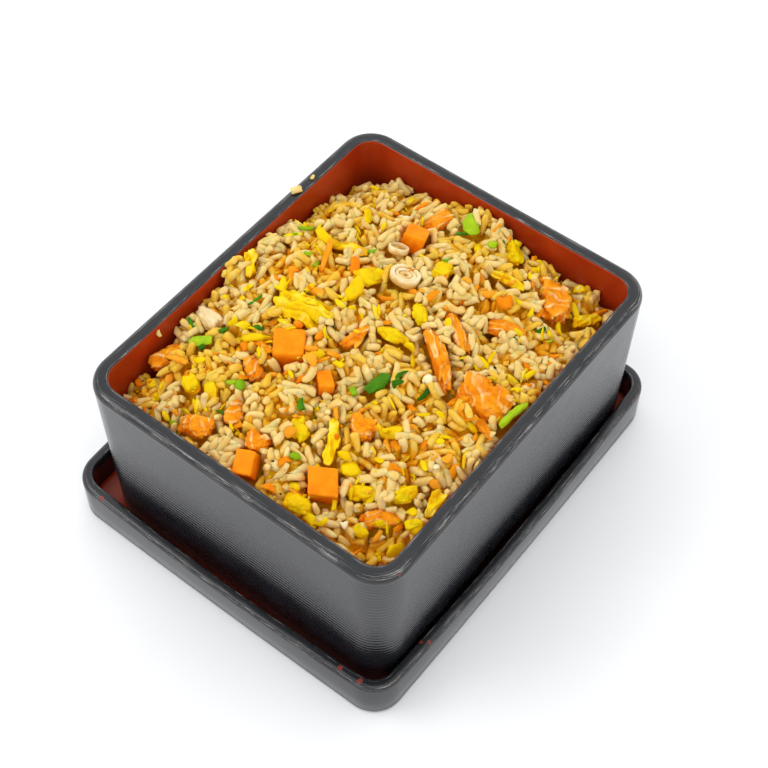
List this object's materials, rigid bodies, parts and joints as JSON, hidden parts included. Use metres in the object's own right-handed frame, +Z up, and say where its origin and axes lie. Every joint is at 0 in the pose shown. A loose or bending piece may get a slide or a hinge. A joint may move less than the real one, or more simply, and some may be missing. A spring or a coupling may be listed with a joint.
{
  "type": "fried rice in lacquer box",
  "caption": "Fried rice with salmon, carrot, egg and green onion heaped in a rectangular lacquer box that stands in its upturned lid.",
  "frame": {"origin": "on the table, under the middle of the upturned lid that the box stands in", "axes": "+X along the box's long side, +Y across it, +Z up"},
  "size_m": [0.1686, 0.1432, 0.0832],
  "materials": {
    "lacquer": "glossy black resin lacquer outside, brick-red lacquer inside, fine turned lines on the walls, worn at the edges",
    "rice": "moist cooked grains, pale amber, slightly see-through with an oily shine",
    "carrot": "cooked carrot, moist orange faces with softened edges",
    "salmon": "flaked cooked salmon, orange with pale lines between the flakes",
    "egg": "soft scrambled egg, bright yellow with browned spots",
    "green_onion": "cut green onion, waxy green, paler inside",
    "onion": "cooked onion and leek, pale tan, see-through at its edges"
  },
  "bodies": {
    "root": {"box": "lacquer", "lid": "lacquer", "rice": "rice", "carrot_cube_large": "carrot", "carrot_cube_front": "carrot", "carrot_cube_rim": "carrot", "carrot_round_back": "carrot", "carrot_wedge": "carrot", "salmon_flake_large": "salmon", "salmon_chunk_right": "salmon", "salmon_strip_long": "salmon", "salmon_strip_inner": "salmon", "salmon_flake_right": "salmon", "salmon_strip_back": "salmon", "salmon_flake_left": "salmon", "salmon_flake_front": "salmon", "salmon_cube_left": "salmon", "salmon_cube_front": "salmon", "salmon_slice_front": "salmon", "salmon_cube_middle": "salmon", "salmon_shred_left": "salmon", "salmon_shred_middle": "salmon", "egg_curd_back": "egg", "egg_sheet_folded": "egg", "egg_ribbon_back": "egg", "egg_stick_left": "egg", "egg_shred_centre": "egg", "egg_curd_top_right": "egg", "egg_stick_right": "egg", "egg_curd_wall": "egg", "egg_strip_corner": "egg", "egg_strip_front": "egg", "egg_curd_front_left": "egg", "egg_curd_brown": "egg", "egg_curd_front_right": "egg", "egg_curd_left_front": "egg", "egg_strip_front_rim": "egg", "egg_curd_left": "egg", "egg_curd_left_low": "egg", "egg_oval_middle": "egg", "egg_curd_centre_right": "egg", "green_onion_chunk_left": "green_onion", "green_onion_stem_middle": "green_onion", "green_onion_leaf_right": "green_onion", "green_onion_cap_back": "green_onion", "onion_slice": "onion", "onion_hoop": "onion", "onion_chunk": "onion"}
  },
  "joints": []
}
